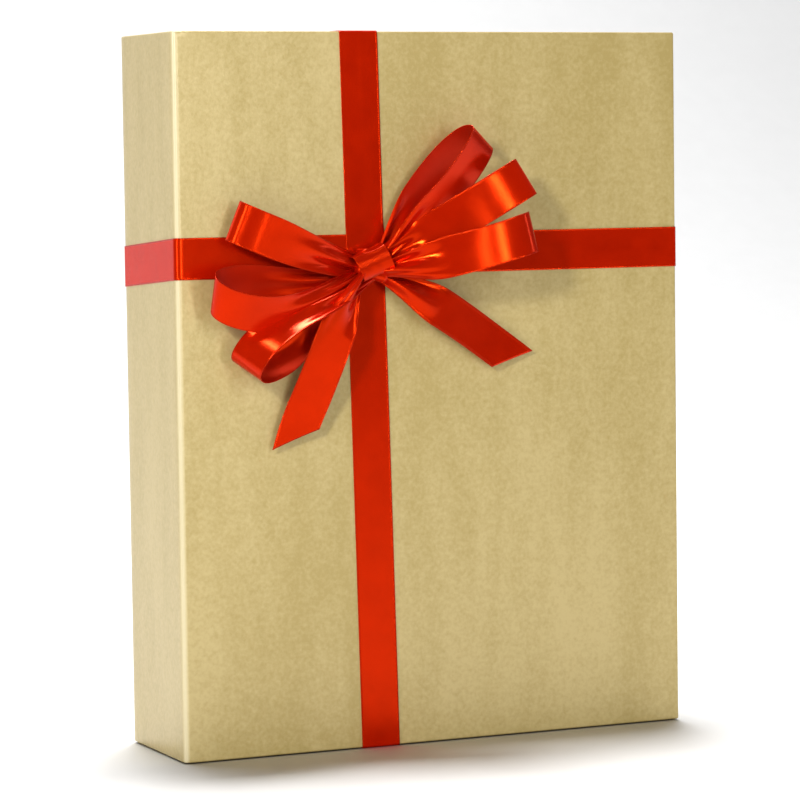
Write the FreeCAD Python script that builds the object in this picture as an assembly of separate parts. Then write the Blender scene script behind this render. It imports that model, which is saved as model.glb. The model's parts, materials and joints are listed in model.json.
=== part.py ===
import FreeCAD, Part
import math
import os

from FreeCAD import Vector

# A paper-covered gift box standing upright, in millimetres. Its front, with the bow, faces -Y,
# +X is to the right of someone who faces it, and Z = 0 is the underside of the ribbon it stands on.
# A base tray opens forward, a lid as deep as the base slides over it from the front, and the ribbon
# and the bow are fixed to the lid.

# Overall sizes of the closed box.
BOX_WIDTH = 216.0
BOX_HEIGHT = 280.0
BOX_DEPTH = 58.0

# Board and papers.
BOARD = 2.0
WRAP = 0.2
LINER = 0.15
TURN_IN = 15.0
LINER_GAP = 0.6
STAY = 0.1
STAY_LEG = 12.0
EDGE_RADIUS = 2.2

# How the lid sits on the base.
SIDE_CLEARANCE = 1.0
FRONT_CLEARANCE = 1.0
RIM_SETBACK = 1.0

# Ribbon: its section, where each band's middle lies, and how far the bands run out of true.
RIBBON_WIDTH = 16.0
RIBBON = 0.4
RIBBON_END = 18.0
BAND_HEIGHT = 194.0
BAND_SIDE_DROP = 4.3
BAND_X_TOP = -31.3
BAND_X_BOTTOM = -25.7
CROSSING_RAMP = 2.5
CROSSING_GAP = 0.3
TAPE = 0.1
TAPE_MARGIN = 3.0
TAPE_INSET = 1.5

# Bow: the knot, then each loop and tail by direction (degrees up from +X), length and lift from the lid.
KNOT_WIDTH = 15.0
KNOT_HEIGHT = 12.0
KNOT_DEPTH = 10.0
KNOT_WALL = 0.8
KNOT_TILT = -18.0
KNOT_RADIUS = 2.5
GATHER_RADIUS = 3.0
WIRE_RADIUS = 0.4
GLUE_RADIUS = 4.0
GLUE = 0.5
LOOP_WALL = 0.8
LOOPS = {
    "bow_loop_left_upper": {"turn": 165.0, "length": 63.0, "rise": 15.0, "tilt": 8.0},
    "bow_loop_left_middle": {"turn": 190.5, "length": 70.0, "rise": 19.0, "tilt": 9.0},
    "bow_loop_left_lower": {"turn": 215.0, "length": 65.0, "rise": 16.0, "tilt": 8.0},
    "bow_loop_right_upper": {"turn": 48.0, "length": 68.0, "rise": 16.0, "tilt": 9.0},
    "bow_loop_right_middle": {"turn": 27.5, "length": 74.0, "rise": 18.0, "tilt": 9.0},
    "bow_loop_right_lower": {"turn": 7.0, "length": 71.0, "rise": 16.0, "tilt": 8.0},
}
TAILS = {
    "bow_tail_left": {"turn": 244.0, "length": 79.0, "slant": 8.0, "tilt": 1.0},
    "bow_tail_right": {"turn": -32.0, "length": 74.0, "slant": -7.0, "tilt": 1.0},
}
SECTOR_GAP = 0.6
SECTOR_LIMIT = 30.0
BOW_DROP = 4.0

# Values that follow from the ones above. Y = 0 is halfway from the bow's front to the box's back.


def stand_off(values):
    """How far one loop reaches out of the plane of the knot's middle."""
    radius = values["rise"] / 2
    return (values["length"] - radius) * math.sin(math.radians(values["tilt"])) + radius


BOW_REACH = 2 * RIBBON + GLUE + KNOT_DEPTH / 2 + max(stand_off(values) for values in LOOPS.values())
FRONT = (BOW_REACH - BOX_DEPTH) / 2
BACK = FRONT + BOX_DEPTH
LID_RIM = BACK - RIM_SETBACK
BOTTOM = RIBBON
TOP = BOTTOM + BOX_HEIGHT
MIDDLE = (BOTTOM + TOP) / 2
LID_SKIN = WRAP + BOARD
LID_INNER = LID_SKIN + WRAP
BASE_OUTER = LID_INNER + SIDE_CLEARANCE
BASE_RIM = FRONT + LID_SKIN + LINER + FRONT_CLEARANCE
CROSSING_X = BAND_X_BOTTOM + (BAND_X_TOP - BAND_X_BOTTOM) * (BAND_HEIGHT - BOTTOM) / BOX_HEIGHT
BOW_PLANE = FRONT - 2 * RIBBON
FAR = 2 * max(BOX_WIDTH, BOX_HEIGHT, BOX_DEPTH)


def block(inset, y_low, y_high):
    """The box's outline, drawn in by inset on its four sides, from y_low to y_high."""
    width = BOX_WIDTH - 2 * inset
    height = BOX_HEIGHT - 2 * inset
    return Part.makeBox(width, y_high - y_low, height, Vector(-width / 2, y_low, BOTTOM + inset))


def on_plane(edge, axis, value):
    """Whether all of an edge lies at one value of an axis."""
    box = edge.BoundBox
    low, high = {"x": (box.XMin, box.XMax), "y": (box.YMin, box.YMax), "z": (box.ZMin, box.ZMax)}[axis]
    return abs(low - value) < 1e-4 and abs(high - value) < 1e-4


def rounded(shape, radius, y_end):
    """The block with its four long corners and the edges of its closed end rounded."""
    if radius <= 0.05:
        return shape
    edges = []
    for edge in shape.Edges:
        box = edge.BoundBox
        along_y = box.YLength > box.XLength + box.ZLength
        if along_y or on_plane(edge, "y", y_end):
            edges.append(edge)
    return shape.makeFillet(radius, edges)


def shell(outer_inset, inner_inset, end_inset_from, outer_end, inner_end, rim):
    """A tray's layer between two insets: closed at one end, open at the rim."""
    radius = EDGE_RADIUS - (outer_inset - end_inset_from)
    inner_radius = EDGE_RADIUS - (inner_inset - end_inset_from)
    outer = rounded(block(outer_inset, min(outer_end, rim), max(outer_end, rim)), radius, outer_end)
    beyond = rim + math.copysign(1.0, rim - outer_end)
    inner = rounded(block(inner_inset, min(inner_end, beyond), max(inner_end, beyond)), inner_radius, inner_end)
    return outer.cut(inner)


def tray(prefix, inset, end, rim):
    """The pieces of one tray, from its covered outside: end is its closed face and rim its open edge."""
    inward = math.copysign(1.0, rim - end)
    board_rim = rim - inward * WRAP
    board = shell(inset + WRAP, inset + LID_SKIN, inset, end + inward * WRAP, end + inward * LID_SKIN, board_rim)
    wrap = shell(inset, inset + WRAP, inset, end, end + inward * WRAP, board_rim)
    rim_low, rim_high = sorted((board_rim, rim))
    rim_band = block(inset, rim_low, rim_high)
    rim_band = rounded(rim_band, EDGE_RADIUS, FAR).cut(block(inset + LID_INNER, rim_low - 1, rim_high + 1))
    turn_low, turn_high = sorted((board_rim, rim - inward * TURN_IN))
    turned = block(inset + LID_SKIN, turn_low, turn_high).cut(block(inset + LID_INNER, turn_low - 1, turn_high + 1))
    wrap = wrap.fuse([rim_band, turned]).removeSplitter()
    liner_rim = rim - inward * (TURN_IN + LINER_GAP)
    liner_outer = block(inset + LID_SKIN, *sorted((end + inward * LID_SKIN, liner_rim)))
    liner_start = end + inward * (LID_SKIN + LINER)
    liner = liner_outer.cut(block(inset + LID_SKIN + LINER, *sorted((liner_start, liner_rim + inward))))
    pieces = {prefix + "_board": board, prefix + "_liner": liner}
    skin = shell(inset + WRAP - STAY, inset + WRAP, inset, end + inward * WRAP, end + inward * WRAP, board_rim)
    corners = [(-1, -1), (1, -1), (1, 1), (-1, 1)]
    for number, (side, level) in enumerate(corners, 1):
        corner_x = side * (BOX_WIDTH / 2 - inset)
        corner_z = MIDDLE + level * (BOX_HEIGHT / 2 - inset)
        low_x, high_x = sorted((corner_x, corner_x - side * STAY_LEG))
        low_z, high_z = sorted((corner_z, corner_z - level * STAY_LEG))
        start, stop = sorted((end + inward * (WRAP + EDGE_RADIUS + 1), board_rim - inward * 1.0))
        place = Part.makeBox(high_x - low_x, stop - start, high_z - low_z, Vector(low_x, start, low_z))
        stay = skin.common(place)
        wrap = wrap.cut(stay)
        pieces[prefix + "_corner_stay_" + str(number)] = stay
    pieces[prefix + "_wrap"] = wrap
    return pieces


def polygon(points, direction):
    """A prism on a closed outline, pushed along a direction."""
    wire = Part.makePolygon([Vector(*p) for p in points + points[:1]])
    return Part.Face(wire).extrude(Vector(*direction))


def around_lid():
    """A sleeve one ribbon thick around the lid: outside, over the rim and back inside."""
    outer = rounded(block(-RIBBON, FRONT - RIBBON, LID_RIM + RIBBON), EDGE_RADIUS + RIBBON, FRONT - RIBBON)
    lid = rounded(block(0, FRONT, LID_RIM), EDGE_RADIUS, FRONT)
    inside = block(LID_INNER + TAPE, LID_RIM - RIBBON_END, LID_RIM + RIBBON)
    core = block(LID_INNER + TAPE + RIBBON, LID_RIM - RIBBON_END - 1, LID_RIM + RIBBON + 1)
    return outer.cut(lid).cut(core).fuse(inside.cut(core)).removeSplitter()


def across_region():
    """The space of the level band: level on the front, falling towards the back on both sides."""
    half = RIBBON_WIDTH / 2
    bend = FRONT + EDGE_RADIUS
    drop = BAND_SIDE_DROP * (LID_RIM + 1 - bend) / (BACK - FRONT)
    outline = [
        (-FAR / 2, FRONT - 2, BAND_HEIGHT - half),
        (-FAR / 2, bend, BAND_HEIGHT - half),
        (-FAR / 2, LID_RIM + 1, BAND_HEIGHT - half - drop),
        (-FAR / 2, LID_RIM + 1, BAND_HEIGHT + half - drop),
        (-FAR / 2, bend, BAND_HEIGHT + half),
        (-FAR / 2, FRONT - 2, BAND_HEIGHT + half),
    ]
    return polygon(outline, (FAR, 0, 0))


def down_region():
    """The space of the upright band, which leans a little."""
    half = RIBBON_WIDTH / 2
    rise = 5.0
    slope = (BAND_X_TOP - BAND_X_BOTTOM) / BOX_HEIGHT
    low = BAND_X_BOTTOM - slope * rise
    high = BAND_X_TOP + slope * rise
    start = FRONT - 5.0
    outline = [
        (low - half, start, BOTTOM - rise),
        (low + half, start, BOTTOM - rise),
        (high + half, start, TOP + rise),
        (high - half, start, TOP + rise),
    ]
    return polygon(outline, (0, BOX_DEPTH + 10.0, 0))


def crossing_step():
    """Where the upright band lifts: the solid to add in front and the solid to take away behind."""
    half = RIBBON_WIDTH / 2 + CROSSING_GAP
    ramp = half + CROSSING_RAMP
    added = [
        (-FAR / 2, FRONT - RIBBON, BAND_HEIGHT - ramp),
        (-FAR / 2, FRONT - 2 * RIBBON, BAND_HEIGHT - half),
        (-FAR / 2, FRONT - 2 * RIBBON, BAND_HEIGHT + half),
        (-FAR / 2, FRONT - RIBBON, BAND_HEIGHT + ramp),
    ]
    taken = [(x, y + RIBBON, z) for x, y, z in added]
    return polygon(added, (FAR, 0, 0)), polygon(taken, (FAR, 0, 0))


def ribbons():
    """The two bands on the lid, which cross on its front."""
    sleeve = around_lid()
    across = sleeve.common(across_region())
    added, taken = crossing_step()
    upright = down_region()
    down = sleeve.common(upright).fuse(added.common(upright)).cut(taken).removeSplitter()
    return {"ribbon_across": across, "ribbon_down": down}


def end_tapes():
    """Double-sided tape under each ribbon end, on the inside of the lid's skirts."""
    layer = block(LID_INNER, LID_RIM - RIBBON_END + TAPE_MARGIN, LID_RIM - TAPE_MARGIN)
    layer = layer.cut(block(LID_INNER + TAPE, LID_RIM - RIBBON_END, LID_RIM))
    reach = RIBBON_WIDTH / 2 - TAPE_INSET
    drop = BAND_SIDE_DROP * (LID_RIM - RIBBON_END / 2 - FRONT) / BOX_DEPTH
    height = BAND_HEIGHT - drop
    half = BOX_DEPTH / 2
    side = Part.makeBox(BOX_WIDTH / 2, half, 2 * reach, Vector(0, BACK - half, height - reach))
    left = side.mirror(Vector(0, 0, 0), Vector(1, 0, 0))
    top = Part.makeBox(2 * reach, half, BOX_HEIGHT / 2, Vector(BAND_X_TOP - reach, BACK - half, MIDDLE))
    low = Part.makeBox(2 * reach, half, BOX_HEIGHT / 2, Vector(BAND_X_BOTTOM - reach, BACK - half, BOTTOM))
    places = {"left": left, "right": side, "top": top, "bottom": low}
    return {"ribbon_tape_" + name: layer.common(place) for name, place in places.items()}


def placed(shape, turn, lift):
    """Turns a piece drawn along +X in the bow's own plane, and lifts it off the crossing."""
    copy = shape.copy()
    copy.rotate(Vector(0, 0, 0), Vector(0, -1, 0), turn)
    copy.translate(Vector(CROSSING_X, BOW_PLANE - lift, BAND_HEIGHT - BOW_DROP))
    return copy


def sector(low, high):
    """The wedge of the bow's plane between two directions, with half of the gap taken off each side."""
    half_gap = SECTOR_GAP / 2
    middle = math.radians((low + high) / 2)
    spread = math.radians((high - low) / 2)
    set_off = half_gap / math.sin(spread)
    tip = (set_off * math.cos(middle), FAR / 2, set_off * math.sin(middle))
    outline = [tip]
    for turn in (math.radians(low), math.radians(high)):
        outline.append((tip[0] + FAR * math.cos(turn), FAR / 2, tip[2] + FAR * math.sin(turn)))
    return polygon(outline, (0, -FAR, 0))


def teardrop(neck, centre, radius):
    """A flat teardrop along +X: a round end, and two straight sides that touch it and meet at the neck."""
    turn = math.acos(radius / (centre - neck))
    x = centre - radius * math.cos(turn)
    y = radius * math.sin(turn)
    end = Vector(centre + radius, 0, 0)
    arc = Part.Arc(Vector(x, y, 0), end, Vector(x, -y, 0)).toShape()
    tip = Vector(neck, 0, 0)
    sides = [Part.makeLine(Vector(x, -y, 0), tip), Part.makeLine(tip, Vector(x, y, 0))]
    return Part.Face(Part.Wire([arc] + sides))


def loop(length, rise, tilt):
    """A ribbon loop along +X: a teardrop ring in the plane of X and -Y, tilted away from the lid."""
    radius = rise / 2
    centre = length - radius
    # The inner teardrop has sides parallel to the outer one's, one ribbon wall away.
    inner_neck = LOOP_WALL * centre / radius
    ring = teardrop(0.0, centre, radius).cut(teardrop(inner_neck, centre, radius - LOOP_WALL))
    solid = ring.extrude(Vector(0, 0, RIBBON_WIDTH))
    solid.translate(Vector(0, 0, -RIBBON_WIDTH / 2))
    solid.rotate(Vector(0, 0, 0), Vector(0, 0, 1), -tilt)
    return solid


def tail(length, slant, tilt):
    """A flat tail along +X with a slanting end, tilted away from the lid."""
    half = RIBBON_WIDTH / 2
    outline = [
        (0, 0, -half),
        (length - slant / 2, 0, -half),
        (length + slant / 2, 0, half),
        (0, 0, half),
    ]
    solid = polygon(outline, (0, -LOOP_WALL, 0))
    solid.rotate(Vector(0, 0, 0), Vector(0, 0, 1), -tilt)
    return solid


def knot_block(inset):
    """The knot's outline, drawn in by inset: a rounded pillow that lies on the glue dot."""
    width = KNOT_WIDTH - 2 * inset
    height = KNOT_HEIGHT - 2 * inset
    depth = KNOT_DEPTH - 2 * inset
    solid = Part.makeBox(width, depth, height, Vector(-width / 2, -depth / 2, -height / 2))
    if KNOT_RADIUS - inset > 0.1:
        solid = solid.makeFillet(KNOT_RADIUS - inset, solid.Edges)
    return placed(solid, KNOT_TILT, GLUE + KNOT_DEPTH / 2)


def bow():
    """The loops and tails, each in its own sector round the knot, and the pieces of the knot."""
    outside = knot_block(0.0)
    middle = GLUE + KNOT_DEPTH / 2
    spokes = []
    for name, values in LOOPS.items():
        spokes.append((values["turn"], name, loop(values["length"], values["rise"], values["tilt"])))
    for name, values in TAILS.items():
        spokes.append((values["turn"], name, tail(values["length"], values["slant"], values["tilt"])))
    spokes.sort(key=lambda spoke: spoke[0])
    turns = [spoke[0] for spoke in spokes]
    before = [turns[-1] - 360.0] + turns[:-1]
    after = turns[1:] + [turns[0] + 360.0]
    pieces = {}
    for (turn, name, shape), lower, upper in zip(spokes, before, after):
        low = max((lower - turn) / 2, -SECTOR_LIMIT)
        high = min((upper - turn) / 2, SECTOR_LIMIT)
        pieces[name] = placed(shape.common(sector(low, high)), turn, middle).cut(outside)
    cavity = knot_block(KNOT_WALL)
    pieces["bow_knot"] = outside.cut(cavity)
    groove = Part.makeTorus(GATHER_RADIUS, WIRE_RADIUS, Vector(0, 0, 0), Vector(1, 0, 0))
    wire = placed(groove, KNOT_TILT, middle)
    pieces["bow_tie_wire"] = wire
    pieces["bow_gather"] = cavity.cut(wire)
    glue = Part.makeCylinder(GLUE_RADIUS, GLUE, Vector(0, 0, 0), Vector(0, -1, 0))
    pieces["bow_glue_dot"] = placed(glue, 0.0, 0.0)
    return pieces


def main():
    pieces = {}
    pieces.update(tray("base", BASE_OUTER, BACK, BASE_RIM))
    pieces.update(tray("lid", 0.0, FRONT, LID_RIM))
    pieces.update(ribbons())
    pieces.update(end_tapes())
    pieces.update(bow())
    os.makedirs("parts", exist_ok=True)
    for name, shape in pieces.items():
        solids = shape.Solids
        print(name, len(solids), "solid", round(shape.Volume, 1), "mm3", shape.isValid())
        if len(solids) == 1:
            shape = solids[0]
        shape.exportStep("parts/" + name + ".step")


main()
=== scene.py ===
import json
import math
import bpy
import numpy as np
from mathutils import Matrix, Vector


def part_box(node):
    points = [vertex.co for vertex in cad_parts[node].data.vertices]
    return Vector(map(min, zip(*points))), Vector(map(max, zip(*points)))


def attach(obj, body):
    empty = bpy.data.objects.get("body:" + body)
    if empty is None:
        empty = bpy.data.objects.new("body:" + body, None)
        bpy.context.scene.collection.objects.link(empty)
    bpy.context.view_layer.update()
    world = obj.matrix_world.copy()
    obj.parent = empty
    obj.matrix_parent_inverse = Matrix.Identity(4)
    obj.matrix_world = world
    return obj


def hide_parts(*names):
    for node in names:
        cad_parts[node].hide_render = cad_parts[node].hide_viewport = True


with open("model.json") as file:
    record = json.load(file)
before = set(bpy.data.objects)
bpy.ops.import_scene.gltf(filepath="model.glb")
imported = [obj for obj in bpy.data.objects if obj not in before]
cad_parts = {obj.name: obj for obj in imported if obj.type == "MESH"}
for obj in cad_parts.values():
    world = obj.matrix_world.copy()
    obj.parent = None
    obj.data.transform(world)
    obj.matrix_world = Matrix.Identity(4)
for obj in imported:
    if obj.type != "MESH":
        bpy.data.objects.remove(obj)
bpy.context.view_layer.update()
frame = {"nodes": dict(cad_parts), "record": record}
nodes = frame["nodes"]
scene = bpy.context.scene
mm = 0.001  # the frame is in metres, and sizes below are in millimetres times mm
print("frame loaded:", len(nodes), "nodes")

# Places that the frame gives.
lidLow, lidHigh = (np.array(corner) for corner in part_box("lid_wrap"))
baseLow, baseHigh = (np.array(corner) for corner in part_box("base_wrap"))
acrossLow, acrossHigh = (np.array(corner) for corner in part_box("ribbon_across"))
downLow, downHigh = (np.array(corner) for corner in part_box("ribbon_down"))
knotLow, knotHigh = (np.array(corner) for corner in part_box("bow_knot"))
lidFront = lidLow[1]
lidMiddle = (lidLow + lidHigh) / 2


# Small maths for the surfaces.
def easeStep(x, low, high):
    # rises from 0 to 1 between low and high, flat at both ends: 3t^2 - 2t^3
    t = np.clip((x - low) / (high - low), 0.0, 1.0)
    return t * t * (3.0 - 2.0 * t)


def directions(turn, tilt):
    # the axis, turned up from +X and leaned out of the lid; the way across it; and the way off the lid
    axis = np.stack([np.cos(turn) * np.cos(tilt), -np.sin(tilt) + 0 * turn, np.sin(turn) * np.cos(tilt)], -1)
    across = np.stack([-np.sin(turn), 0 * turn, np.cos(turn)], -1)
    away = np.cross(across, axis)
    away = np.where(away[..., 1:2] > 0, -away, away)
    return axis, across, away


def gridObject(name, points, closedAcross=False, flip=False):
    # a mesh over a grid of points, rows along the piece and columns across it, its UV map in metres
    rows, columns = points.shape[:2]
    index = np.arange(rows * columns).reshape(rows, columns)
    if closedAcross:
        index = np.concatenate([index, index[:, :1]], axis=1)
    faces = np.stack([index[:-1, :-1], index[1:, :-1], index[1:, 1:], index[:-1, 1:]], -1).reshape(-1, 4)
    if flip:
        faces = faces[:, ::-1]
    mesh = bpy.data.meshes.new(name)
    mesh.from_pydata(points.reshape(-1, 3).tolist(), [], faces.tolist())
    middle = points[:, columns // 2]
    along = np.concatenate([[0.0], np.cumsum(np.linalg.norm(np.diff(middle, axis=0), axis=1))])
    span = np.linalg.norm(np.diff(points[rows // 2], axis=0), axis=1)
    sideways = np.concatenate([[0.0], np.cumsum(span)])
    centred = sideways - sideways[-1] / 2
    uv = np.stack(np.broadcast_arrays(along[:, None], centred[None, :]), -1).reshape(-1, 2)
    corners = np.empty(len(mesh.loops), np.int32)
    mesh.loops.foreach_get("vertex_index", corners)
    mesh.uv_layers.new(name="UVMap").data.foreach_set("uv", uv[corners].astype(np.float32).ravel())
    mesh.shade_smooth()
    piece = bpy.data.objects.new(name, mesh)
    scene.collection.objects.link(piece)
    return piece


def acrossRibbon(columns):
    # from -1 to 1, closer together at both edges, so that the shading of the flat face reaches them
    even = np.linspace(-1.0, 1.0, columns)
    crowding = 0.65
    return ((1.0 - crowding) * even + crowding * np.sin(even * np.pi / 2.0))[None, :]


def thicken(piece, thickness, offset, backSlot=0):
    wall = piece.modifiers.new("wall", "SOLIDIFY")
    wall.thickness = thickness
    wall.offset = offset
    wall.material_offset = backSlot


# Shader node groups that several finishes share.
weave = {
    "threadPitch": 0.22 * mm,
    "crossPitch": 0.42 * mm,
    "selvedgeFrom": 7.3 * mm,  # off the middle of the ribbon
    "ribPitch": 0.7 * mm,
    "stagger": 0.6,            # how far each cross thread leans along the ribbon
    "threadHeight": 0.07,
    "crossHeight": 0.05,
    "ribHeight": 1.6,
    "selvedgeHeight": 1.2,
    "selvedgeRise": 0.25 * mm,  # over which the ribs come up
}


def newGroup(name, inputs, outputs):
    group = bpy.data.node_groups.new(name, "ShaderNodeTree")
    for label, kind, value in inputs:
        socket = group.interface.new_socket(name=label, in_out="INPUT", socket_type=kind)
        if value is not None:
            socket.default_value = value
    for label, kind in outputs:
        group.interface.new_socket(name=label, in_out="OUTPUT", socket_type=kind)
    entry = group.nodes.new("NodeGroupInput")
    leave = group.nodes.new("NodeGroupOutput")
    return group, entry, leave


def mathNode(tree, operation, first, second=None, third=None, clamp=False):
    node = tree.nodes.new("ShaderNodeMath")
    node.operation = operation
    node.use_clamp = clamp
    for socket, value in zip(node.inputs, (first, second, third)):
        if value is None:
            continue
        if isinstance(value, (int, float)):
            socket.default_value = value
        else:
            tree.links.new(value, socket)
    return node.outputs[0]


def mottleGroup():
    # soft clouds over finer grain, from 0 to 1, with the share of grain as an input
    group, entry, leave = newGroup(
        "mottle",
        [("Vector", "NodeSocketVector", None), ("Cloud Scale", "NodeSocketFloat", None),
         ("Grain Scale", "NodeSocketFloat", None), ("Grain Share", "NodeSocketFloat", None)],
        [("Value", "NodeSocketFloat")],
    )
    cloud = group.nodes.new("ShaderNodeTexNoise")
    grain = group.nodes.new("ShaderNodeTexNoise")
    for noise, label, detail in ((cloud, "Cloud Scale", 3.0), (grain, "Grain Scale", 2.0)):
        noise.inputs["Detail"].default_value = detail
        group.links.new(entry.outputs["Vector"], noise.inputs["Vector"])
        group.links.new(entry.outputs[label], noise.inputs["Scale"])
    blend = group.nodes.new("ShaderNodeMix")
    group.links.new(entry.outputs["Grain Share"], blend.inputs[0])
    group.links.new(cloud.outputs["Fac"], blend.inputs[2])
    group.links.new(grain.outputs["Fac"], blend.inputs[3])
    group.links.new(blend.outputs[0], leave.inputs["Value"])
    return group


def satinWeaveGroup():
    # long floats along the ribbon, faint cross threads, and a ribbed selvedge at both edges
    group, entry, leave = newGroup(
        "satinWeave",
        [("UV", "NodeSocketVector", None), ("Thread Pitch", "NodeSocketFloat", weave["threadPitch"]),
         ("Cross Pitch", "NodeSocketFloat", weave["crossPitch"]),
         ("Selvedge From", "NodeSocketFloat", weave["selvedgeFrom"]),
         ("Rib Pitch", "NodeSocketFloat", weave["ribPitch"])],
        [("Height", "NodeSocketFloat"), ("Selvedge", "NodeSocketFloat")],
    )
    split = group.nodes.new("ShaderNodeSeparateXYZ")
    group.links.new(entry.outputs["UV"], split.inputs[0])
    along, sideways = split.outputs[0], split.outputs[1]

    def ridges(distance, pitch):
        turns = mathNode(group, "DIVIDE", distance, pitch)
        return mathNode(group, "SINE", mathNode(group, "MULTIPLY", turns, 2.0 * math.pi))

    threads = ridges(sideways, entry.outputs["Thread Pitch"])
    stagger = mathNode(group, "MULTIPLY_ADD", sideways, weave["stagger"], along)
    cross = ridges(stagger, entry.outputs["Cross Pitch"])
    ribs = ridges(along, entry.outputs["Rib Pitch"])
    fromMiddle = mathNode(group, "ABSOLUTE", sideways)
    beyond = mathNode(group, "SUBTRACT", fromMiddle, entry.outputs["Selvedge From"])
    selvedge = mathNode(group, "MULTIPLY", beyond, 1.0 / weave["selvedgeRise"], clamp=True)
    floats = mathNode(group, "MULTIPLY", threads, weave["threadHeight"])
    body = mathNode(group, "MULTIPLY_ADD", cross, weave["crossHeight"], floats)
    edge = mathNode(group, "MULTIPLY_ADD", ribs, weave["ribHeight"], weave["selvedgeHeight"])
    difference = mathNode(group, "SUBTRACT", edge, body)
    height = mathNode(group, "MULTIPLY_ADD", difference, selvedge, body)
    group.links.new(height, leave.inputs["Height"])
    group.links.new(selvedge, leave.inputs["Selvedge"])
    return group


mottle = mottleGroup()
satinWeave = satinWeaveGroup()


# Finishes.
def newFinish(name, settings):
    material = bpy.data.materials.new(name)
    material.use_nodes = True
    tree = material.node_tree
    shader = tree.nodes["Principled BSDF"]
    for label, value in settings.items():
        shader.inputs[label].default_value = value
    coordinates = tree.nodes.new("ShaderNodeTexCoord")
    return material, tree, shader, coordinates


def groupNode(tree, group, values):
    node = tree.nodes.new("ShaderNodeGroup")
    node.node_tree = group
    for label, value in values.items():
        if isinstance(value, (int, float)):
            node.inputs[label].default_value = value
        else:
            tree.links.new(value, node.inputs[label])
    return node


def rampBetween(tree, value, first, second, low=0.35, high=0.65):
    ramp = tree.nodes.new("ShaderNodeValToRGB")
    ramp.color_ramp.elements[0].position = low
    ramp.color_ramp.elements[1].position = high
    ramp.color_ramp.elements[0].color = (*first, 1.0)
    ramp.color_ramp.elements[1].color = (*second, 1.0)
    tree.links.new(value, ramp.inputs[0])
    return ramp.outputs[0]


def rangeOf(tree, value, low, high):
    node = tree.nodes.new("ShaderNodeMapRange")
    node.inputs["To Min"].default_value = low
    node.inputs["To Max"].default_value = high
    tree.links.new(value, node.inputs["Value"])
    return node.outputs[0]


def bumpFrom(tree, height, shader, strength, distance):
    bump = tree.nodes.new("ShaderNodeBump")
    bump.inputs["Strength"].default_value = strength
    bump.inputs["Distance"].default_value = distance
    tree.links.new(height, bump.inputs["Height"])
    tree.links.new(bump.outputs[0], shader.inputs["Normal"])


goldPaper = {
    "dark": (0.375, 0.283, 0.098),
    "light": (0.47, 0.368, 0.158),
    "contrast": (0.4, 0.6),    # where in the noise's range the dark gives way to the light
    "metallic": 0.1,
    "gloss": 0.4,
    "varnish": 0.15,
    "varnishRoughness": 0.26,
    "roughness": (0.26, 0.40),
    "clouds": {"Cloud Scale": 260.0, "Grain Scale": 620.0, "Grain Share": 0.6},
    "streaks": {"Cloud Scale": 22.0, "Grain Scale": 90.0, "Grain Share": 0.35},
    "streakStretch": (1.0, 1.0, 0.22),
    # paler colour painted along the front left edge: a painted highlight for the light that the rounded edge
    # catches
    "leftEdge": (0.62, 0.54, 0.34),
    "paintedHighlightWidth": 2.2 * mm,      # how far the painted highlight, a paler stretch of colour, reaches from the front left edge
    "paintedHighlightStrength": 1.6,        # over 1, so that the painted highlight is at its palest along the edge itself
    "bump": (1.0, 0.22 * mm),
}


def mixColours(tree, share, first, second):
    mix = tree.nodes.new("ShaderNodeMix")
    mix.data_type = "RGBA"
    tree.links.new(share, mix.inputs[0])
    tree.links.new(first, mix.inputs[6])
    mix.inputs[7].default_value = (*second, 1.0)
    return mix.outputs[2]


def paintedHighlightShare(tree, place):
    # share of the painted highlight's paler colour: 1 at the front left edge, 0 beyond its stretch: strength
    # * (1 - distance / width), from 0 to 1
    level = tree.nodes.new("ShaderNodeVectorMath")
    level.operation = "MULTIPLY"
    level.inputs[1].default_value = (1.0, 1.0, 0.0)
    tree.links.new(place, level.inputs[0])
    fromEdge = tree.nodes.new("ShaderNodeVectorMath")
    fromEdge.operation = "DISTANCE"
    fromEdge.inputs[1].default_value = (lidLow[0], lidFront, 0.0)
    tree.links.new(level.outputs[0], fromEdge.inputs[0])
    strength = goldPaper["paintedHighlightStrength"]
    slope = -strength / goldPaper["paintedHighlightWidth"]
    return mathNode(tree, "MULTIPLY_ADD", fromEdge.outputs["Value"], slope, strength, clamp=True)


def makeGoldPaper():
    # fine clouds and tall faint streaks in equal parts set its colour, its gloss and its relief; in the
    # colour the clouds are the paper's own uneven tone and the streaks are painted reflection, lighter and
    # darker stripes for light off the crinkled foil
    material, tree, shader, coordinates = newFinish("goldPaper", {
        "Metallic": goldPaper["metallic"],
        "Specular IOR Level": goldPaper["gloss"],
        "Coat Weight": goldPaper["varnish"],
        "Coat Roughness": goldPaper["varnishRoughness"],
    })
    place = coordinates.outputs["Object"]
    clouds = groupNode(tree, mottle, {"Vector": place, **goldPaper["clouds"]})
    stretch = tree.nodes.new("ShaderNodeMapping")
    stretch.inputs["Scale"].default_value = goldPaper["streakStretch"]
    tree.links.new(place, stretch.inputs["Vector"])
    streaks = groupNode(tree, mottle, {"Vector": stretch.outputs[0], **goldPaper["streaks"]})
    halfClouds = mathNode(tree, "MULTIPLY", clouds.outputs[0], 0.5)
    both = mathNode(tree, "MULTIPLY_ADD", streaks.outputs[0], 0.5, halfClouds)
    # the streaks' share of this colour is painted reflection, the clouds' share is the paper's own tone
    colour = rampBetween(tree, both, goldPaper["dark"], goldPaper["light"], *goldPaper["contrast"])
    # the paler stretch along the front left edge is painted highlight
    withPaintedHighlight = mixColours(tree, paintedHighlightShare(tree, place), colour, goldPaper["leftEdge"])
    tree.links.new(withPaintedHighlight, shader.inputs["Base Color"])
    tree.links.new(rangeOf(tree, both, *goldPaper["roughness"]), shader.inputs["Roughness"])
    bumpFrom(tree, both, shader, *goldPaper["bump"])
    return material


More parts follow.
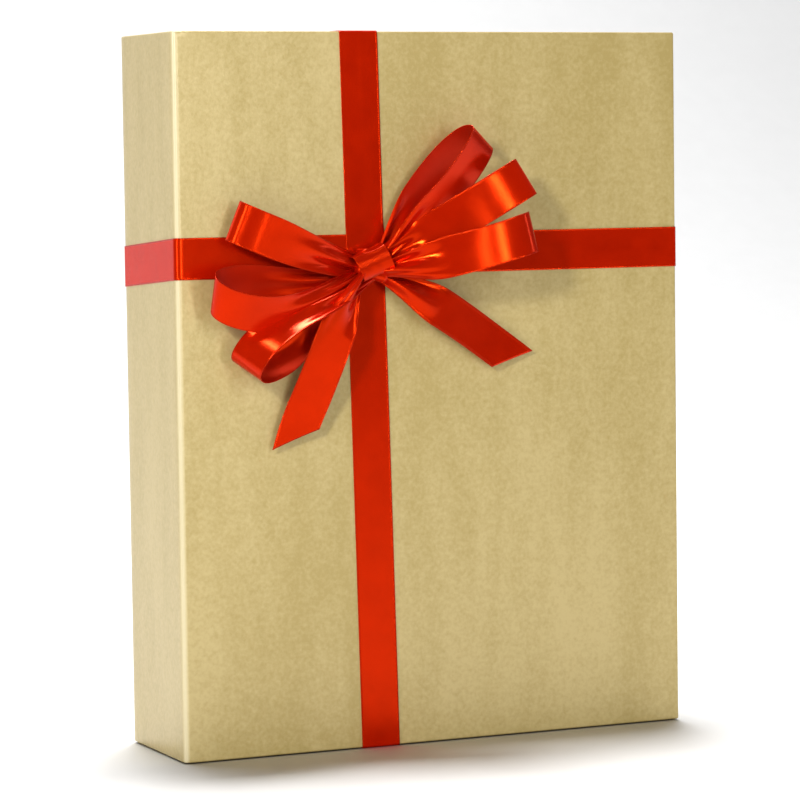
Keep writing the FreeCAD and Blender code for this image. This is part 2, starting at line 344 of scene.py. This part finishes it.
satin = {
    "colour": (0.54, 0.0110, 0.0003),
    "shade": (0.46, 0.0085, 0.0003),
    "edge": (0.36, 0.006, 0.0003),
    "metallic": 0.4,
    "roughness": (0.12, 0.19),
    "backRoughness": (0.36, 0.46),
    "refraction": 1.9,
    "gloss": 0.65,
    "glossColour": (1.0, 0.14, 0.015),  # the dyed threads tint what they reflect
    "clouds": {"Cloud Scale": 110.0, "Grain Scale": 2400.0, "Grain Share": 0.3},
    "contrast": (0.3, 0.7),
    "edgeShare": 0.6,          # how much of the edge's darker colour the selvedge takes
    "bump": (0.30, 0.06 * mm),
    "width": 16.0 * mm,
    "thickness": 0.3 * mm,
}


def makeSatin(name, roughness):
    material, tree, shader, coordinates = newFinish(name, {
        "Metallic": satin["metallic"],
        "IOR": satin["refraction"],
        "Specular IOR Level": satin["gloss"],
        "Specular Tint": (*satin["glossColour"], 1.0),
    })
    threads = groupNode(tree, satinWeave, {"UV": coordinates.outputs["UV"]})
    clouds = groupNode(tree, mottle, {"Vector": coordinates.outputs["Object"], **satin["clouds"]})
    body = rampBetween(tree, clouds.outputs[0], satin["shade"], satin["colour"], *satin["contrast"])
    share = mathNode(tree, "MULTIPLY", threads.outputs["Selvedge"], satin["edgeShare"])
    tree.links.new(mixColours(tree, share, body, satin["edge"]), shader.inputs["Base Color"])
    tree.links.new(rangeOf(tree, clouds.outputs[0], *roughness), shader.inputs["Roughness"])
    bumpFrom(tree, threads.outputs["Height"], shader, *satin["bump"])
    return material


# Plain stocks: two close colours, the roughness from and to, the scales of fibre and grain, and the
# relief's strength and depth.
stocks = {
    "greyboard": {"colours": ((0.25, 0.22, 0.19), (0.42, 0.39, 0.34)), "roughness": (0.8, 0.95),
                  "scales": (900.0, 4200.0), "bump": (0.8, 0.2 * mm), "metallic": 0.0},
    "liningPaper": {"colours": ((0.74, 0.69, 0.58), (0.84, 0.80, 0.71)), "roughness": (0.7, 0.85),
                    "scales": (400.0, 3600.0), "bump": (0.5, 0.1 * mm), "metallic": 0.0},
    "kraftTape": {"colours": ((0.36, 0.22, 0.11), (0.50, 0.33, 0.18)), "roughness": (0.55, 0.75),
                  "scales": (500.0, 3000.0), "bump": (0.5, 0.1 * mm), "metallic": 0.0},
    "clearTape": {"colours": ((0.74, 0.74, 0.70), (0.82, 0.82, 0.79)), "roughness": (0.15, 0.3),
                  "scales": (300.0, 1500.0), "bump": (0.2, 0.05 * mm), "metallic": 0.0},
    "tieWire": {"colours": ((0.45, 0.45, 0.46), (0.62, 0.62, 0.63)), "roughness": (0.25, 0.4),
                "scales": (600.0, 5000.0), "bump": (0.3, 0.03 * mm), "metallic": 1.0},
    "glue": {"colours": ((0.72, 0.68, 0.56), (0.84, 0.80, 0.68)), "roughness": (0.2, 0.35),
             "scales": (300.0, 1500.0), "bump": (0.3, 0.1 * mm), "metallic": 0.0},
    "floorPaper": {"colours": ((0.94, 0.94, 0.94), (0.9212, 0.9212, 0.9212)), "roughness": (0.6, 0.7),
                   "scales": (3.0, 40.0), "bump": (0.05, 0.1 * mm), "metallic": 0.0},
}
plainGrainShare = 0.55  # in every plain stock


def makePlain(name):
    # a fibrous or grained stock: two close colours, uneven gloss and a fine relief
    stock = stocks[name]
    material, tree, shader, coordinates = newFinish(name, {"Metallic": stock["metallic"]})
    fibreScale, grainScale = stock["scales"]
    fibres = groupNode(tree, mottle, {
        "Vector": coordinates.outputs["Object"], "Cloud Scale": fibreScale, "Grain Scale": grainScale,
        "Grain Share": plainGrainShare})
    colour = rampBetween(tree, fibres.outputs[0], *stock["colours"])
    tree.links.new(colour, shader.inputs["Base Color"])
    tree.links.new(rangeOf(tree, fibres.outputs[0], *stock["roughness"]), shader.inputs["Roughness"])
    bumpFrom(tree, fibres.outputs[0], shader, *stock["bump"])
    return material


finishes = {
    "gold_paper": makeGoldPaper(),
    "red_satin": makeSatin("redSatin", satin["roughness"]),
    "satin_back": makeSatin("redSatinBack", satin["backRoughness"]),
    "greyboard": makePlain("greyboard"),
    "lining_paper": makePlain("liningPaper"),
    "kraft_tape": makePlain("kraftTape"),
    "clear_tape": makePlain("clearTape"),
    "tie_wire": makePlain("tieWire"),
    "glue": makePlain("glue"),
}
for entry in frame["record"]["subparts"]:
    mesh = nodes[entry["node"]].data
    mesh.materials.clear()
    mesh.materials.append(finishes[entry["material_slot"]])
print("finishes made:", len(finishes))


def finishPiece(piece, slot, body, node, back=None):
    piece.data.materials.append(finishes[slot])
    if back:
        piece.data.materials.append(finishes[back])
    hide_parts(node)
    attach(piece, body)
    return piece


# Covering paper of the lid and of the base.
paper = {
    "thickness": 0.2 * mm,
    "wall": 2.4 * mm,          # through the board and both layers of paper
    "turnIn": 15.0 * mm,
    "radius": 0.7 * mm,
    "leftRadius": 2.2 * mm,    # the front edge on the left, which was rubbed round
    "rimRadius": 0.35 * mm,
    "smallCorner": 0.2 * mm,   # the least radius of a ring's corners
    "ripple": 0.10 * mm,       # how far the paper stands off the board at the most
    "rippleFade": 12.0 * mm,   # in from the edges, where the board holds it flat
    "pitch": 4.0 * mm,         # between the points along an edge
    "cornerPoints": 7,
    "faceRings": 40,
    "outerRings": 8,           # more of them, in the last few millimetres of the face
    "edgePoints": 8,
    "skirtPoints": 18,
    "rubbedPoints": 7,
    "rimPoints": 4,
}


def ringAround(halfX, halfZ, radius, counts):
    # a rounded rectangle: four straight sides joined by quarter circles, started at the lower left corner
    sidePoints, tallPoints = counts
    corner = np.linspace(0.0, np.pi / 2.0, paper["cornerPoints"])
    parts = []
    centres = [(halfX - radius, -halfZ + radius), (halfX - radius, halfZ - radius),
               (-halfX + radius, halfZ - radius), (-halfX + radius, -halfZ + radius)]
    for quarter, (x, z) in enumerate(centres):
        angle = corner + (quarter - 1) * np.pi / 2.0
        arc = np.stack([x + radius * np.cos(angle), z + radius * np.sin(angle)], -1)
        number = tallPoints if quarter % 2 == 0 else sidePoints
        nextX, nextZ = centres[(quarter + 1) % 4]
        turn = quarter * np.pi / 2.0
        stop = np.array([nextX + radius * np.cos(turn), nextZ + radius * np.sin(turn)])
        straight = arc[-1] + (stop - arc[-1]) * np.linspace(0.0, 1.0, number)[1:-1, None]
        parts += [arc, straight]
    return np.concatenate(parts)


def wrapProfile(closed, rim, towards):
    # inset and depth: round the closed face's edge, down the skirt, over the rim and back up inside
    radius, small, wall = paper["radius"], paper["rimRadius"], paper["wall"]
    a = np.linspace(0.0, np.pi / 2.0, paper["edgePoints"])
    edge = np.stack([radius * (1.0 - np.sin(a)), closed + towards * radius * (1.0 - np.cos(a))], -1)
    leftEdge = closed + towards * np.linspace(radius, paper["leftRadius"], paper["rubbedPoints"])[1:]
    depths = np.linspace(closed + towards * paper["leftRadius"], rim - towards * small, paper["skirtPoints"])
    depths = np.concatenate([leftEdge, depths[1:-1]])
    skirt = np.stack([0.0 * depths, depths], -1)
    b = np.linspace(0.0, np.pi / 2.0, paper["rimPoints"])
    over = np.stack([small * (1.0 - np.cos(b)), rim - towards * small * (1.0 - np.sin(b))], -1)
    under = np.stack([wall - small * (1.0 - np.sin(b)), rim - towards * small * (1.0 - np.cos(b))], -1)
    inside = np.linspace(rim - towards * small, rim - towards * paper["turnIn"], paper["edgePoints"])[1:]
    turned = np.stack([wall + 0.0 * inside, inside], -1)
    return np.concatenate([edge, skirt, over, under, turned])


def paperRipple(x, z, halfX, halfZ):
    # slow waves, mostly up the box and gone at its edges, from 0 to 1; a length is one radian of a wave
    narrow = np.sin(x / (8.3 * mm) + 1.3 * np.sin(z / (41.0 * mm)))
    fine = 0.7 * np.sin(x / (4.1 * mm) + z / (50.0 * mm) + 1.0)
    tall = 0.8 * np.sin(z / (34.0 * mm) + x / (60.0 * mm))
    broad = 0.5 * np.sin(x / (15.7 * mm) - z / (23.0 * mm))
    fade = easeStep(halfX - np.abs(x), 0.0, paper["rippleFade"])
    fade = fade * easeStep(halfZ - np.abs(z), 0.0, paper["rippleFade"])
    return ((narrow + fine + tall + broad) / 6.0 + 0.5) * fade


def rubRound(points, halfX, closed, radius):
    # out from the centre of the left front edge's arc, a and b both shrink by max(a, b) / hypot(a, b)
    a = np.clip(radius - (points[..., 0] + halfX), 0.0, None)
    b = np.clip(radius - (points[..., 1] - closed), 0.0, None)
    aboveZero = 1e-9
    share = np.maximum(a, b) / np.maximum(np.hypot(a, b), aboveZero)
    return points + np.stack([a * (1.0 - share), b * (1.0 - share), 0.0 * a], -1)


def paperSkin(name, low, high, closed, rim, node, body):
    towards = math.copysign(1.0, rim - closed)
    halfX, halfZ = (high[0] - low[0]) / 2.0, (high[2] - low[2]) / 2.0
    middleX, middleZ = (high[0] + low[0]) / 2.0, (high[2] + low[2]) / 2.0
    counts = (int(2 * halfX / paper["pitch"]), int(2 * halfZ / paper["pitch"]))
    small = paper["smallCorner"]
    rings = []
    start = ringAround(halfX - paper["radius"], halfZ - paper["radius"], small, counts)
    inner, outer = np.linspace(0.0, 0.97, paper["faceRings"]), np.linspace(0.974, 0.997, paper["outerRings"])
    for share in np.concatenate([inner, outer]):
        flat = start * share
        lift = paper["ripple"] * paperRipple(flat[:, 0], flat[:, 1], halfX, halfZ)
        rings.append(np.stack([flat[:, 0], closed - towards * lift, flat[:, 1]], -1))
    for inset, depth in wrapProfile(closed, rim, towards):
        ring = ringAround(halfX - inset, halfZ - inset, max(paper["radius"] - inset, small), counts)
        rings.append(np.stack([ring[:, 0], depth + 0.0 * ring[:, 0], ring[:, 1]], -1))
    points = np.stack(rings)
    if towards > 0:
        points = rubRound(points, halfX, closed, paper["leftRadius"])
    points = points + np.array([middleX, 0.0, middleZ])
    piece = gridObject(name, points, closedAcross=True, flip=towards < 0)
    # the middle of the face is one point
    merge = piece.modifiers.new("pole", "WELD")
    merge.merge_threshold = 0.01 * mm
    thicken(piece, paper["thickness"], -1.0)
    return finishPiece(piece, "gold_paper", body, node)


lidPaper = paperSkin("lidPaper", lidLow, lidHigh, lidFront, lidHigh[1], "lid_wrap", "lid")
paperSkin("basePaper", baseLow, baseHigh, baseHigh[1], baseLow[1], "base_wrap", "base")
print("paper made")


# The two bands round the lid.
bands = {
    "clear": 0.06 * mm,        # air under the ribbon
    "endLength": 18.0 * mm,
    "crossRamp": 3.5 * mm,
    "tightRadius": 0.5 * mm,
    "insideGap": 0.1 * mm,     # between the skirt's lining and the ribbon's end
    "step": 1.2 * mm,
    "leastStep": 0.05 * mm,    # closer points than this are left out
    "arcPoints": 9,
    "columns": 33,
    "wave": 0.10 * mm,
    "waveLengths": (21.0 * mm, 9.3 * mm),
    "waveStarts": {"across": 0.7, "down": 2.1},
}


def roundedPath(corners, radii, step):
    # points on straight runs and the arcs between them, which start radius * tan(turn / 2) off the corners
    corners = [np.array(corner) for corner in corners]
    pieces = [corners[0][None]]
    for before, corner, after, radius in zip(corners, corners[1:], corners[2:], radii):
        into, out = corner - before, after - corner
        into, out = into / np.linalg.norm(into), out / np.linalg.norm(out)
        turn = math.atan2(into[0] * out[1] - into[1] * out[0], into @ out)
        start = corner - into * radius * math.tan(abs(turn) / 2.0)
        normal = np.array([-into[1], into[0]]) * math.copysign(1.0, turn)
        a = np.linspace(0.0, abs(turn), bands["arcPoints"])[:, None]
        pieces.append(start + normal * radius * (1.0 - np.cos(a)) + into * radius * np.sin(a))
    pieces.append(corners[-1][None])
    rough = np.concatenate(pieces)
    length = np.concatenate([[0.0], np.cumsum(np.linalg.norm(np.diff(rough, axis=0), axis=1))])
    even = np.unique(np.concatenate([length, np.arange(0.0, length[-1], step)]))
    even = even[np.concatenate([[True], np.diff(even) > bands["leastStep"]])]
    return np.stack([np.interp(even, length, rough[:, 0]), np.interp(even, length, rough[:, 1])], -1)


def bandPath(half, firstRadius):
    # sideways distance and depth: from inside one skirt, round the front, to inside the other
    off = bands["clear"] + satin["thickness"] / 2.0
    outer, inner = half + off, half - paper["wall"] - bands["insideGap"] - off
    rim, face = lidHigh[1] + off, lidLow[1] - off
    end = lidHigh[1] - bands["endLength"]
    corners = [(-inner, end), (-inner, rim), (-outer, rim), (-outer, face), (outer, face), (outer, rim),
               (inner, rim), (inner, end)]
    tight, first, second = bands["tightRadius"], firstRadius + off, paper["radius"] + off
    return roundedPath(corners, [tight, tight, first, second, tight, tight], bands["step"])


def frontLift(sideways, crossing, halfWidth):
    # how far one band rises to pass over the other, one ribbon and its air
    rise = satin["thickness"] + bands["clear"]
    return rise * (1.0 - easeStep(np.abs(sideways - crossing), halfWidth, halfWidth + bands["crossRamp"]))


def bandWave(distance, v, start):
    # slack in the ribbon: slow waves along it, most at its edges
    long, short = bands["waveLengths"]
    slow = np.sin(distance / long + start) + 0.6 * np.sin(distance / short + 2.0 * start)
    return bands["wave"] * (0.5 + 0.5 * np.abs(v)) * (slow * np.sign(v) * 0.25 + 0.4)


halfRibbon = satin["width"] / 2.0
sideDrop = acrossHigh[2] - acrossLow[2] - satin["width"]
bandHeight = acrossHigh[2] - halfRibbon
leanTop, leanBottom = downLow[0] + halfRibbon, downHigh[0] - halfRibbon


def acrossBand():
    path = bandPath((lidHigh[0] - lidLow[0]) / 2.0, paper["leftRadius"])
    x, y = path[:, :1], path[:, 1:]
    v = acrossRibbon(bands["columns"])
    drop = sideDrop * np.clip((y - lidFront - paper["radius"]) / (lidHigh[1] - lidFront), 0.0, 1.0)
    lift = bandWave(x, v, bands["waveStarts"]["across"]) * (y < lidFront)
    z = bandHeight - drop + v * halfRibbon
    return np.stack([x + 0 * v, y - lift, z], -1)


def downBand():
    path = bandPath((lidHigh[2] - lidLow[2]) / 2.0, paper["radius"])
    z, y = path[:, :1] + lidMiddle[2], path[:, 1:]
    v = acrossRibbon(bands["columns"])
    middle = leanBottom + (leanTop - leanBottom) * (z - lidLow[2]) / (lidHigh[2] - lidLow[2])
    wave = bandWave(z, v, bands["waveStarts"]["down"])
    lift = (frontLift(z, bandHeight, halfRibbon) + wave) * (y < lidFront)
    return np.stack([middle + v * halfRibbon, y - lift, z + 0 * v], -1)


def makeBand(name, points, node, flip):
    piece = gridObject(name, points, flip=flip)
    thicken(piece, satin["thickness"], 0.0, 1)
    finishPiece(piece, "red_satin", "lid", node, "satin_back")


makeBand("ribbonAcross", acrossBand(), "ribbon_across", False)
makeBand("ribbonDown", downBand(), "ribbon_down", True)
print("bands made")


# The bow.
knotMiddle = (knotLow + knotHigh) / 2
bow = {
    "place": np.array([knotMiddle[0], lidFront, knotMiddle[2] - 2.0 * mm]),
    "rows": 161,
    "columns": 41,
    "floor": 1.5 * mm,         # how near to the lid a loop may lie
    "crown": 0.5 * mm,
    "pleatDepth": 0.30,
    "foldFrom": 0.72,          # of a loop's length, where its round end starts
    "foldRise": 3.0,           # so that the far end of a flat loop is still a round fold
    "lipWidth": 0.16,
    "lipFade": (0.22, 0.5),
    "restEase": 0.8 * mm,
}
# Each loop, with angles in degrees, lengths in millimetres and places across the ribbon from -1 to 1: turn
# is where it points, up from +X, and tilt how far it leans out of the lid; length reaches from the knot to
# the fold, and near and far are how far its two layers stand off its axis; neckRoll twists it at the knot
# and roll further out; bend curves its axis, and fan opens its layers apart; start is how far off the lid
# it leaves the knot; pinch is the share of its width there, and open where it has all of it; pleats and
# phase fold what is gathered; lip and lipHeight are the place and height of a rolled edge.
loops = {
    "LeftUpper": {"turn": 162, "length": 61.3, "near": 11.3, "far": -5, "roll": 8, "bend": -3,
                  "tilt": 3.5, "fan": 0, "start": 3.2, "neckRoll": -16, "pinch": 0.55, "open": 0.77,
                  "pleats": 1.6, "phase": 0.4, "lip": 0, "lipHeight": 0},
    "LeftMiddle": {"turn": 195, "length": 70, "near": 8, "far": 9, "roll": -40, "bend": -17, "tilt": 8,
                   "fan": 15, "start": 5, "neckRoll": 14, "pinch": 0.55, "open": 0.8, "pleats": 2.2,
                   "phase": 1.2, "lip": -0.7, "lipHeight": 0.9},
    "LeftLower": {"turn": 214, "length": 67, "near": 14, "far": 13.5, "roll": 46, "bend": -3, "tilt": 9,
                  "fan": 3, "start": 3, "neckRoll": 5, "pinch": 0.38, "open": 0.8, "pleats": 2.0,
                  "phase": 0.0, "lip": -0.8, "lipHeight": 0.8},
    "RightUpper": {"turn": 48, "length": 68, "near": 7.5, "far": 13.5, "roll": 8, "bend": 3, "tilt": 9,
                   "fan": 4, "start": 5, "neckRoll": 18, "pinch": 0.35, "open": 0.5, "pleats": 2.0,
                   "phase": 0.5, "lip": 0, "lipHeight": 0},
    "RightMiddle": {"turn": 30, "length": 71.5, "near": 9.5, "far": 6, "roll": 0, "bend": 1, "tilt": 12,
                    "fan": -1, "start": 5.3, "neckRoll": -15, "pinch": 0.65, "open": 0.35,
                    "pleats": 2.0, "phase": 2.0, "lip": 0, "lipHeight": 0},
    "RightLower": {"turn": 9.5, "length": 64.5, "near": 10.7, "far": -1.2, "roll": 0, "bend": 7,
                   "tilt": 15, "fan": 0, "start": 8.5, "neckRoll": -7, "pinch": 0.34, "open": 0.45,
                   "pleats": 1.5, "phase": 1.0, "lip": -0.8, "lipHeight": 1.3},
}
# Each tail, in the same words: slant is how much longer one edge is than the other, end how far off the lid
# it ends, hump how far it rises in between, and shift how far it starts to one side.
tails = {
    "Left": {"turn": 239, "length": 72, "slant": -15, "bend": 9, "start": 9.5, "end": 4, "hump": 10,
             "roll": 3, "neckRoll": -12, "pinch": 0.12, "open": 0.4, "pleats": 1.0, "phase": 0.5,
             "shift": -4.0, "lip": -0.78, "lipHeight": 1.6},
    "Right": {"turn": -28.3, "length": 71.8, "slant": 13.5, "bend": -5, "start": 4, "end": 3, "hump": 8,
              "roll": -8, "neckRoll": -30, "pinch": 0.3, "open": 0.45, "pleats": 1.2, "phase": 0.0,
              "shift": 0.0, "lip": 0, "lipHeight": 0},
}


def pinched(t, s, v):
    # the share of its width that the ribbon has near the knot, the pleats that take up the rest, and a
    # rolled edge: height * exp(-((v - lip) / lipWidth)^2), gone by the middle of the loop
    share = s["pinch"] + (1.0 - s["pinch"]) * easeStep(t, 0.0, s["open"])
    spare = np.sqrt(np.maximum(1.0 - share ** 2, 0.0)) * halfRibbon * bow["pleatDepth"]
    pleat = spare * np.cos(np.pi * s["pleats"] * v + s["phase"] + 0.6 * np.sin(5.0 * t))
    lip = s["lipHeight"] * mm * np.exp(-((v - s["lip"]) / bow["lipWidth"]) ** 2)
    return share, pleat, lip * easeStep(t, 0.0, 0.08) * (1.0 - easeStep(t, *bow["lipFade"]))


def restOnLid(points):
    # nearer to the lid than floor, a point eases out to floor + k * log(1 + exp((out - floor) / k))
    out = lidFront - points[..., 1]
    ease = bow["restEase"]
    out = bow["floor"] + ease * np.logaddexp(0.0, (out - bow["floor"]) / ease)
    points[..., 1] = lidFront - out
    return points


def loopSurface(s):
    # a teardrop, length * (1 - cos a) / 2 along its axis and rise * sin a * sin(a / 2) off it
    a = np.linspace(0.0, 2.0 * np.pi, bow["rows"])[:, None]
    v = acrossRibbon(bow["columns"])
    t = (1.0 - np.cos(a)) / 2.0
    far = s["far"] + max(bow["foldRise"] - s["far"], 0.0) * easeStep(t, bow["foldFrom"], 1.0)
    rise = np.where(a <= np.pi, s["near"], far) * mm * np.sin(a) * np.sin(a / 2.0)
    turn = np.radians(s["turn"] + s["fan"] * np.cos(a / 2.0) / 2.0 + s["bend"] * (t - 0.5))
    axis, across, away = directions(turn, math.radians(s["tilt"]))
    roll = np.radians(s["roll"] * easeStep(t, 0.0, 0.8) + s["neckRoll"])[..., None]
    widthWay = across * np.cos(roll) + away * np.sin(roll)
    faceWay = away * np.cos(roll) - across * np.sin(roll)
    share, pleat, lip = pinched(t, s, v)
    crown = bow["crown"] * (1.0 - v ** 2) * easeStep(t, 0.1, 0.5)
    offFace = (pleat + crown) * (1.0 - easeStep(t, 0.1, 0.8)) + lip * (a <= np.pi)
    start = bow["place"] + np.array([0.0, -s["start"] * mm, 0.0])
    points = start + axis * (s["length"] * mm * t)[..., None] + faceWay * (rise + offFace)[..., None]
    points = points + widthWay * (v * halfRibbon * share)[..., None]
    return restOnLid(points)


def tailSurface(s):
    # a flat strip along a bent line, humped where it leaves the knot, its end cut on the slant
    u = np.linspace(0.0, 1.0, bow["rows"] // 2)[:, None]
    v = acrossRibbon(bow["columns"])
    along = u * (s["length"] + s["slant"] * v / 2.0) * mm
    t = along / (s["length"] * mm)
    turn = np.radians(s["turn"] + s["bend"] * (t - 0.5))
    axis, across, away = directions(turn, 0.0)
    roll = s["roll"] * easeStep(t, 0.0, 0.9) + s["neckRoll"] * (1.0 - easeStep(t, 0.0, 0.5))
    roll = np.radians(roll)[..., None]
    widthWay = across * np.cos(roll) + away * np.sin(roll)
    share, pleat, lip = pinched(t, s, v)
    hump = s["hump"] * np.sin(np.pi * np.clip(t, 0.0, 1.0)) * (1.0 - t)
    out = (s["start"] + (s["end"] - s["start"]) * t + hump) * mm
    points = bow["place"] + axis * along[..., None] + away * (out + pleat + lip)[..., None]
    points = points + widthWay * (v * halfRibbon * share)[..., None]
    points = points + across * (s["shift"] * mm * (1.0 - easeStep(t, 0.2, 0.8)))[..., None]
    return restOnLid(points)


def makeBowPiece(name, points, node):
    piece = gridObject(name, points)
    thicken(piece, satin["thickness"], 0.0, 1)
    finishPiece(piece, "red_satin", "lid", node, "satin_back")


for side, values in loops.items():
    node = "bow_loop_" + side.replace("Left", "left_").replace("Right", "right_").lower()
    makeBowPiece("bowLoop" + side, loopSurface(values), node)
for side, values in tails.items():
    makeBowPiece("bowTail" + side, tailSurface(values), "bow_tail_" + side.lower())

knot = {
    "tilt": 20.0,
    "halfLength": 6.9 * mm,    # half the width of the ribbon wound round, gathered
    "halfHeight": 5.2 * mm,
    "halfDepth": 4.6 * mm,
    "place": (-1.4 * mm, -8.6 * mm, 2.8 * mm),
    "square": (0.74, 0.12),    # 1 is an ellipse, and less is squarer; the second is added towards the top
    "waist": (0.10, 0.06),     # how much thicker both ends are, and how much more the right one is
    "fold": 0.04 * mm,
    "rim": 0.45 * mm,          # the turned edge that runs along the top of it
    "rimPlace": 0.62,          # in radians from the top towards the front
    "rimWidth": 0.13,
    "lean": 0.10,              # its ends are not quite square to its axis
    "aroundPoints": 192,
    "alongPoints": 41,
}


def knotSurface():
    # a squared ellipse, height by depth, carried along the knot's own axis, with folds round it and one
    # turned edge: rim * exp(-((a - rimLine) / rimWidth)^2), where a goes from the top towards the front
    a = np.linspace(0.0, 2.0 * np.pi, knot["aroundPoints"] + 1)[:-1][None, :]
    v = np.linspace(-1.0, 1.0, knot["alongPoints"])[:, None]
    c, s = np.cos(a), np.sin(a)
    square = knot["square"][0] + knot["square"][1] * c
    up = knot["halfHeight"] * np.sign(c) * np.abs(c) ** square
    out = knot["halfDepth"] * np.sign(s) * np.abs(s) ** square
    waist = 1.0 + knot["waist"][0] * v ** 2 + knot["waist"][1] * v
    fold = knot["fold"] * np.cos(np.pi * (3.1 * v + 0.3 * c)) * np.clip(s, 0.0, 1.0)
    rimLine = knot["rimPlace"] + 0.10 * v + 0.05 * np.sin(5.0 * v)
    rim = knot["rim"] * np.exp(-((a - rimLine) / knot["rimWidth"]) ** 2)
    scale = waist + (fold + rim) / knot["halfDepth"]
    tilt = math.radians(knot["tilt"])
    along = np.array([math.cos(tilt), 0.0, math.sin(tilt)])
    rise = np.array([-math.sin(tilt), 0.0, math.cos(tilt)])
    outward = np.array([0.0, -1.0, 0.0])
    onAxis = v * knot["halfLength"] - knot["lean"] * up
    points = bow["place"] + np.array(knot["place"]) + along * onAxis[..., None]
    return points + rise * (up * scale)[..., None] + outward * (out * scale)[..., None]


knotPoints = knotSurface()
knotPiece = gridObject("bowKnot", knotPoints, closedAcross=True, flip=True)
thicken(knotPiece, satin["thickness"], 0.0, 1)
finishPiece(knotPiece, "red_satin", "lid", "bow_knot", "satin_back")
print("bow made")


# Floor, light and camera.
studio = {
    "world": (1.0, 1.0, 1.0),
    "worldStrength": 0.12,
    "sweepRadius": 1.2,
    "sweepStart": 1.6,
    "sweepPoints": 33,
    "halfWidth": 6.0,
    "near": -5.0,
    "top": 5.0,
}
boxAim = (0.0, 0.0, 0.16)  # a little over the middle of the box
lamps = {
    "key": {"place": (-0.72, -0.70, 0.53), "aim": boxAim, "size": (0.12, 0.14), "power": 7.7,
            "flagged": True},
    "frontStrip": {"place": (0.20, -1.60, 0.53), "aim": boxAim, "size": (0.10, 0.95), "power": 8.2,
                   "flagged": True},
    "leftStrip": {"place": (-0.17, -1.78, 0.20), "aim": boxAim, "size": (0.08, 0.7), "power": 2.8,
                  "flagged": True},
    "edgeStrip": {"place": (-1.35, -0.62, 0.30), "aim": boxAim, "size": (0.10, 0.9), "power": 4.6,
                  "flagged": True},
    "rightStrip": {"place": (1.5, -0.65, 0.35), "aim": boxAim, "size": (0.10, 0.9), "power": 1.2,
                   "flagged": True},
    "upperLeft": {"place": (-0.87, -0.22, 1.47), "aim": boxAim, "size": (0.14, 0.14), "power": 3.4,
                  "flagged": True},
    "overhead": {"place": (0.1, 0.28, 2.0), "aim": (0.05, -0.1, 0.0), "size": (0.45, 0.45), "power": 47.0,
                 "flagged": False},
    "wall": {"place": (0.0, 1.2, 2.6), "aim": (0.0, 2.8, 0.6), "size": (3.0, 0.8), "power": 62.0,
             "flagged": False},
}
eye = {
    "place": (-558.9 * mm, -1222.6 * mm, 231.9 * mm),
    "azimuth": -24.25,
    "dip": 4.12,
    "roll": -0.77,
    "lens": 152.2,
    "sensor": 36.0,
    "clip": (0.05, 30.0),
}


def makeFloor():
    # level, then a quarter circle up into a wall behind
    a = np.linspace(0.0, np.pi / 2.0, studio["sweepPoints"])
    bendY = studio["sweepStart"] + studio["sweepRadius"] * np.sin(a)
    bendZ = studio["sweepRadius"] * (1.0 - np.cos(a))
    y = np.concatenate([[studio["near"]], bendY, [bendY[-1]]])
    z = np.concatenate([[0.0], bendZ, [studio["top"]]])
    x = np.linspace(-studio["halfWidth"], studio["halfWidth"], 3)
    points = np.stack(np.broadcast_arrays(x[None, :], y[:, None], z[:, None]), -1)
    floor = gridObject("floor", points, flip=True)
    floor.data.materials.append(makePlain("floorPaper"))
    return floor


def makeLamp(name, settings):
    light = bpy.data.lights.new(name, "AREA")
    light.shape = "RECTANGLE"
    light.size, light.size_y = settings["size"]
    light.energy = settings["power"]
    lamp = bpy.data.objects.new(name, light)
    scene.collection.objects.link(lamp)
    aim = np.array(settings["aim"]) - np.array(settings["place"])
    lamp.location = settings["place"]
    lamp.rotation_mode = "QUATERNION"
    lamp.rotation_quaternion = Vector(aim.tolist()).to_track_quat("-Z", "Y")
    return lamp


def keepOffFloor(lamp, floor):
    # a flagged lamp lights the box and not the floor, so the shadow under the box stays dark
    flagged = bpy.data.collections.new(lamp.name + "Flagged")
    flagged.objects.link(floor)
    flagged.collection_objects[0].light_linking.link_state = "EXCLUDE"
    lamp.light_linking.receiver_collection = flagged


def makeCamera():
    camera = bpy.data.objects.new("camera", bpy.data.cameras.new("camera"))
    scene.collection.objects.link(camera)
    camera.data.lens = eye["lens"]
    camera.data.sensor_width = eye["sensor"]
    camera.data.clip_start, camera.data.clip_end = eye["clip"]
    turn = Matrix.Rotation(math.radians(eye["azimuth"]), 4, "Z")
    look = Matrix.Rotation(math.radians(90.0 - eye["dip"]), 4, "X")
    roll = Matrix.Rotation(math.radians(eye["roll"]), 4, "Z")
    camera.matrix_world = Matrix.Translation(eye["place"]) @ turn @ look @ roll
    scene.camera = camera


def makeWorld():
    world = bpy.data.worlds.new("studio")
    world.use_nodes = True
    background = world.node_tree.nodes["Background"]
    background.inputs["Color"].default_value = (*studio["world"], 1.0)
    background.inputs["Strength"].default_value = studio["worldStrength"]
    scene.world = world


floor = makeFloor()
for name, settings in lamps.items():
    lamp = makeLamp(name, settings)
    if settings["flagged"]:
        keepOffFloor(lamp, floor)
makeCamera()
makeWorld()
scene.view_settings.view_transform = "Standard"
print("studio made")

bpy.context.view_layer.update()
